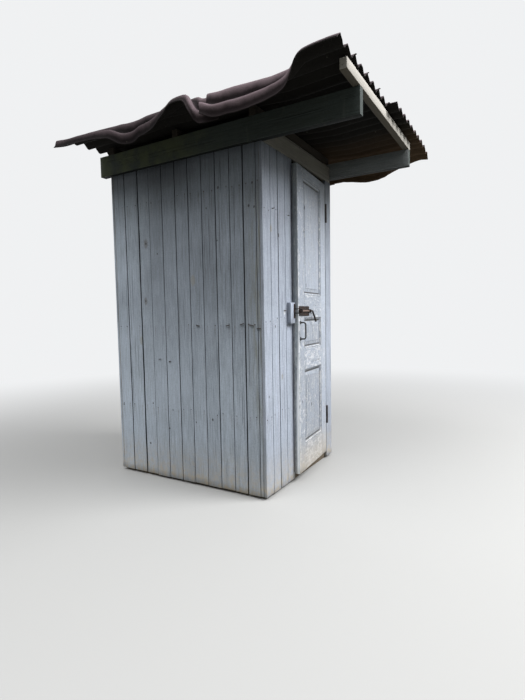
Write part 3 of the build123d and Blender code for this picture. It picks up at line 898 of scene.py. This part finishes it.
def sheet_tree(name, lines):
    """A node tree that forms a corrugated sheet, with its side edge bent down as the lines say."""
    tree, given, result = new_tree(
        name, (*sheet_sizes, "From", "To", "Start", "End", "Level", "Support height", "Hut front", "Middle"),
        {"Points across": "Int", "Points along": "Int"})
    grid = add_node(tree, "GeometryNodeMeshGrid", {
        "Size X": given["To"] - given["From"], "Size Y": given["End"] - given["Start"],
        "Vertices X": given["Points across"], "Vertices Y": given["Points along"]})
    lifted = add_node(tree, "GeometryNodeExtrudeMesh", {
        "Mesh": grid, "Offset": vector_of(tree, z=given["Thickness"]), "Individual": False}, mode="FACES")
    lower = add_node(tree, "GeometryNodeFlipFaces", {"Mesh": grid})
    both = tree.nodes.new("GeometryNodeJoinGeometry")
    feed(tree, both.inputs[0], lower)
    feed(tree, both.inputs[0], lifted)
    closed = add_node(tree, "GeometryNodeMergeByDistance", {
        "Geometry": Wire(tree, both.outputs[0]), "Distance": 0.00001})
    across, flat_y, height = parts_of(add_node(tree, "GeometryNodeInputPosition"))
    across = across + (given["From"] + given["To"]) * 0.5
    upper = height / given["Thickness"]
    end_noise = line_noise(across, 45.0)
    half_length = (given["End"] - given["Start"]) * 0.5
    y = flat_y * (1 - given["End ragged"] * end_noise / half_length) + (given["Start"] + given["End"]) * 0.5
    hem_noise = line_noise(y, 16.0)
    reach = abs(across)
    hem = (reach - given["Bend reach"]).higher_of(0) / (edge_reach - sheet_sizes["Bend reach"])
    reach = reach - hem ** 3 * given["Hem ragged"] * hem_noise
    share = (y - lines[0][0]) / (lines[-1][0] - lines[0][0])
    sag = line_curve(tree, share, lines, 1, deepest_sag, "VECTOR") * deepest_sag
    left_bend, right_bend = [
        line_curve(tree, share, lines, column, math.degrees(steepest_bend), "AUTO_CLAMPED")
        for column in (2, 3)]
    is_right = across.is_above(0.0)
    bend = ((right_bend * is_right + left_bend * (1 - is_right)) * steepest_bend).higher_of(slightest_bend)
    radius = given["Bend length"] / bend
    past = (reach - given["Bend reach"]).higher_of(0)
    turn = past.lower_of(given["Bend length"]) / radius
    straight = (past - given["Bend length"]).higher_of(0)
    sine = turn.sine()
    cosine = turn.cosine()
    run = reach.lower_of(given["Bend reach"]) + radius * sine + straight * cosine
    drop = radius * (1 - cosine) + straight * sine
    waves = across / given["Pitch"] * (2 * math.pi)
    wave = 0.5 - 0.5 * waves.cosine()
    out = wave * given["Wave height"] + given["Level"] + upper * given["Thickness"]
    x = given["Middle"] + (2 * is_right - 1) * (run + out * sine)
    z = given["Support height"] - sag - drop + out * cosine
    formed = closed
    for label, value in (("crest", wave), ("upper", upper)):
        formed = add_node(tree, "GeometryNodeStoreNamedAttribute", {
            "Geometry": formed, "Name": label, "Value": value}, data_type="FLOAT")
    formed = add_node(tree, "GeometryNodeSetPosition", {
        "Geometry": formed, "Position": vector_of(tree, x, y + given["Hut front"], z)})
    close_tree(tree, formed, roof_finish, result)
    return tree


front_tree = sheet_tree("front sheets", front_lines)
rear_tree = sheet_tree("rear sheets", rear_lines)
sheets = (
    ("rear_right_roof_sheet", rear_tree, -lap_reach, edge_reach),
    ("rear_left_roof_sheet", rear_tree, -edge_reach, lap_reach),
    ("front_right_roof_sheet", front_tree, -lap_reach, edge_reach),
    ("front_left_roof_sheet", front_tree, -edge_reach, lap_reach),
)
for level, (node, tree, across_from, across_to) in enumerate(sheets):
    sheet_low, sheet_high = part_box(node)
    sheet_shape = grown(node, bpy.data.meshes.new(node + " start"), tree, {
        **sheet_sizes, "From": across_from, "To": across_to,
        "Start": sheet_low.y - hut_y, "End": sheet_high.y - hut_y, "Level": level * lap_rise,
        "Support height": rear_support + sheet_gap, "Hut front": hut_y, "Middle": roof_middle,
        "Points across": round((across_to - across_from) / sheet_sizes["Pitch"] * points_per_wave) + 1,
        "Points along": rows_along})
    piece(node + "_formed", sheet_shape, [roof_finish], [node], smooth=60)

crest_height = rear_support + sheet_gap + sheet_sizes["Wave height"] + sheet_sizes["Thickness"]
sheet_nails = []
for y, level_of_right in sheet_nail_rows:
    for number in range(nails_per_row):
        across = (2 * number + 0.5 - nails_per_row) * sheet_sizes["Pitch"]
        level = level_of_right + 1 if across < 0 else level_of_right
        nail_z = crest_height + level * lap_rise - sheet_nail_sink
        sheet_nails.append((roof_middle + across, hut_y + y, nail_z))
nail_heads("roof_sheet_nails", sheet_nails, z_axis, 9, radius=sheet_nail_radius)


# The door came from a house: mortised stiles and rails round three fielded panels, painted white
# and then pale blue. The top coat has flaked off the rails, the mouldings and the latch edge.
joints = {joint["name"]: joint for joint in frame["joints"]}
hinge_x, hinge_y = joints["door_hinge"]["pos_m"][:2]
slide_x, slide_y = joints["bolt_slide"]["axis"][:2]
leaf_turn = Matrix.Rotation(math.atan2(-slide_y, -slide_x), 4, "Z")
leaf = Matrix.Translation((hinge_x, hinge_y, 0)) @ leaf_turn
flat = leaf.inverted()
leaf_outward = (leaf.to_3x3() @ -y_axis).normalized()
door_edge = 0.0025
corner_run = 0.005
upright_soil = 0.4
field_inset = 0.03
rail_wear = {"top_rail": 0.1, "lock_rail": 0.4, "middle_rail": 0.6, "bottom_rail": 0.7}
flake_colour = (0.67, 0.68, 0.7)
door_soil_colour = (0.52, 0.46, 0.38)
moulding_shade_colour = (0.05, 0.048, 0.045)
door_spots = ((-0.402, 0.011, 1.777), (-0.412, 0.014, 1.624), (-0.388, 0.014, 1.28), (-0.49, 0.007, 0.52),
              (-0.3, 0.014, 0.47))
edge_flake_colour = (0.55, 0.56, 0.56)
lit_and_worn_edge_colour = (0.8, 0.83, 0.86)
stile_low, stile_high = solids("latch_stile", flat)[0]
latch_corner = leaf @ stile_low
# The inset, the depth and the painted groove shade of each ring of a panel's moulding.
panel_rings = ((0, 0.0005, 0.7), (0.0015, 0.0005, 0.5), (0.0025, 0.0035, 0.6), (0.004, 0.0037, 0.0),
               (0.006, 0.004, 0.0), (0.0105, 0.007, 0.2), (0.0135, 0.0112, 1.0), (0.015, 0.013, 1.0),
               (0.0165, 0.013, 1.0), (0.0205, 0.0124, 0.9), (0.024, 0.0118, 0.1), (0.043, 0.0088, 0.12),
               (0.044, 0.007, 0.3), (0.046, 0.007, 0.15))

# The door gets painted shade that darkens it slightly towards the top, most of all under the overhang.
door = painted_finish(
    "flaking door paint", (0.335, 0.374, 0.45), (0.415, 0.452, 0.51), (0.14, 0.132, 0.124),
    (0.37, 0.36, 0.345), 0.0, 1.0, painted_shade=((1.3, 1.7, 0.05), (1.83, 2.03, 0.2)))
latch_edge = (door.x - latch_corner.x).step(0.045, 0.008) * door.z.step(1.62, 1.42)
scales = door.along_grain(0.5, 60, 7, 0.76) + door.attribute("wear") * 0.085
scales = scales + door.z.step(1.35, 0.9) * 0.035 + latch_edge * 0.085
flaked = scales.step(0.585, 0.61)
door.cover(flaked * 0.65, flake_colour)
door.tint(1 - (scales.step(0.57, 0.585) - flaked) * 0.25)
mark(door, [leaf @ Vector(spot) for spot in door_spots], 0.0065, knot_colour, 0.9, (1, 1, 0.4))
door.cover(door.z.step(0.32, 0.05) * 0.5, door_soil_colour)
# Painted shade in the moulding grooves.
door.cover(door.attribute("soil") * door.noise(60, 4, 0.6).step(0.15, 0.45) * 0.9, moulding_shade_colour)
door.relief = door.relief - flaked
door_paint = close_paint(door)

# The latch edge faces away from the light and carries painted light and shade as well as grime.
edge = painted_finish(
    "grimy door edge with painted shade and light", (0.32, 0.355, 0.39), (0.23, 0.25, 0.27), (0.08, 0.074, 0.065),
    (0.34, 0.34, 0.33), 0.02, 0.5)
scales = edge.noise(80, 5, 0.7, squeeze=(1, 1, 0.3)) + edge.z.step(1.5, 1.0) * 0.08
edge.cover(scales.step(0.52, 0.66) * 0.45, edge_flake_colour)
edge_depth = (latch_corner.x - edge.x) * leaf_outward.x + (latch_corner.y - edge.y) * leaf_outward.y
# A pale band along the front of the edge, partly painted light and partly worn paint, wider low down.
lit_and_worn_band = edge_depth - edge.z.step(1.15, 0.4) * 0.017 + scales * 0.01
edge.cover(lit_and_worn_band.step(0.012, 0.002) * 0.95, lit_and_worn_edge_colour)
# Painted shade towards the back of the edge, and painted light low down.
edge.tint(1 - edge_depth.step(0.02, 0.037) * 0.5)
edge.tint(1 + edge.z.step(1.3, 0.9) * 0.3)
door_finishes = [door_paint, door_paint, close_paint(edge)]


def leaf_timber(node, along, wear=0.0, sides=(0, 0)):
    """One stile or rail of the door."""
    shape = new_shape()
    low, high = solids(node, flat)[0]
    plank(shape, low, high, along, -y_axis, edge=door_edge, waver=0.0005, dent=0.0003,
          tone=draw.random(), turn=leaf, wear=wear, sides=sides)
    piece(node + "_timber", shape, door_finishes, [node], "door")


leaf_timber("latch_stile", z_axis, 0.15, (2, 0) if z_axis.cross(-y_axis).x > 0 else (0, 2))
leaf_timber("hinge_stile", z_axis)
for node, wear in rail_wear.items():
    leaf_timber(node, x_axis, wear)


def fielded_panel(node):
    """A panel with a moulding along the frame and a raised field, the same on both faces."""
    low, high = solids(node, flat)[0]
    shape = new_shape()
    tone = draw.random()
    faces = []
    for face_y, inward in ((stile_low.y, 1), (stile_high.y, -1)):
        rings = []
        for inset, depth, soil in panel_rings:
            left, right = low.x + inset, high.x - inset
            foot, top = low.z + inset, high.z - inset
            across = (left, left + corner_run, right - corner_run, right)
            upward = (foot, foot + corner_run, top - corner_run, top)
            outline = [(x, foot) for x in across] + [(right, z) for z in upward[1:]]
            outline += [(x, top) for x in across[2::-1]] + [(left, z) for z in upward[2:0:-1]]
            ring = []
            for number, (x, z) in enumerate(outline):
                level = (0.5, 1, 1, 0.5, 0, 0)[number % 6]
                place = leaf @ Vector((x, face_y + inward * depth, z))
                worn = 0.9 if z < top and 0.002 < inset < 0.012 else 0.15
                # Painted shade in the moulding grooves, weaker along the upright sides.
                groove_shade_share = soil * (1 if inset > field_inset else upright_soil + (1 - upright_soil) * level)
                grain = (x + tone * 5.1, depth, z + tone * 9.7)
                ring.append(add_point(shape, place, grain, tone=tone, wear=worn, soil=groove_shade_share))
            rings.append(ring)
        for outer, inner in zip(rings, rings[1:]):
            band(shape, outer, inner)
        shape.faces.new(rings[-1])
        faces.append(rings[0])
    band(shape, *faces)
    piece(node + "_fielded", shape, [door_paint], [node], "door", smooth=20)


for node in ("top_panel", "middle_panel", "bottom_panel"):
    fielded_panel(node)


# Two butt hinges of dark iron hold the door, with their knuckles outside and their leaves screwed
# into the seam. The CAD halves keep their shape.
dark_iron = iron_finish(
    "dark hinge iron", (0.022, 0.02, 0.02), (0.05, 0.045, 0.042), (0.075, 0.04, 0.025), 0.2)


def keep_solid(node, finish):
    """Show a CAD node as it is, in a finish of its own."""
    materials = frame["nodes"][node].data.materials
    materials.clear()
    materials.append(finish)


for node in ("jamb_hinge_leaves", "door_hinge_leaves"):
    keep_solid(node, dark_iron)


# An iron bolt slides on a plate that six screws hold to the door, and a bow handle of blackened iron
# is screwed on below it. The solids keep their shape, and only the screw heads are added.
bolt_height = 1.11
bolt_rub = (-0.45, 0, bolt_height)
handle_x = -0.5155
plate_face = 0.0042
plate_screws = [(x, plate_face, bolt_height + rise)
                for x in (-0.532, -0.449, -0.367) for rise in (-0.0245, 0.0245)]
handle_screws = [(handle_x + step, plate_face, z)
                 for z in (0.932, 1.036) for step in (-0.0078, 0.0078)]
rusty_iron = iron_finish(
    "rusty iron", (0.007, 0.005, 0.005), (0.022, 0.014, 0.012), (0.062, 0.03, 0.02), 0.42, 0.15, gloss=0.15)
handle_iron = iron_finish(
    "blackened iron", (0.01, 0.01, 0.008), (0.026, 0.025, 0.02), (0.04, 0.03, 0.02), 0.1)
rod_iron = iron_finish(
    "sliding iron", (0.01, 0.008, 0.007), (0.024, 0.018, 0.015), (0.05, 0.03, 0.022), 0.15,
    rubbed=leaf @ Vector(bolt_rub), gloss=0.25)
for node, finish in (("bolt_plate", rusty_iron), ("bolt_rod", rod_iron), ("pull_handle", handle_iron)):
    keep_solid(node, finish)
for name, screws, seed, size in (
        ("bolt_plate_screws", plate_screws, 11, (0.0042, 0.0018)),
        ("handle_screws", handle_screws, 12, (0.0026, 0.0014))):
    nail_heads(name, [leaf @ Vector(screw) for screw in screws], leaf_outward, seed, "door", *size)


# Beside the door a short painted block is nailed to the wall. It carries an iron plate with a staple
# for the bolt, held by two large nails.
keeper_nails = [(-0.1673, -0.3788, z) for z in (1.072, 1.148)]
keep_solid("keeper_staple", rusty_iron)
nail_heads("keeper_plate_nails", keeper_nails, -y_axis, 13, radius=0.005)
single_plank("keeper_block", "keeper_block_wood", z_axis, -y_axis, [front_paint, front_paint],
             edge=0.0015, waver=0.0003)
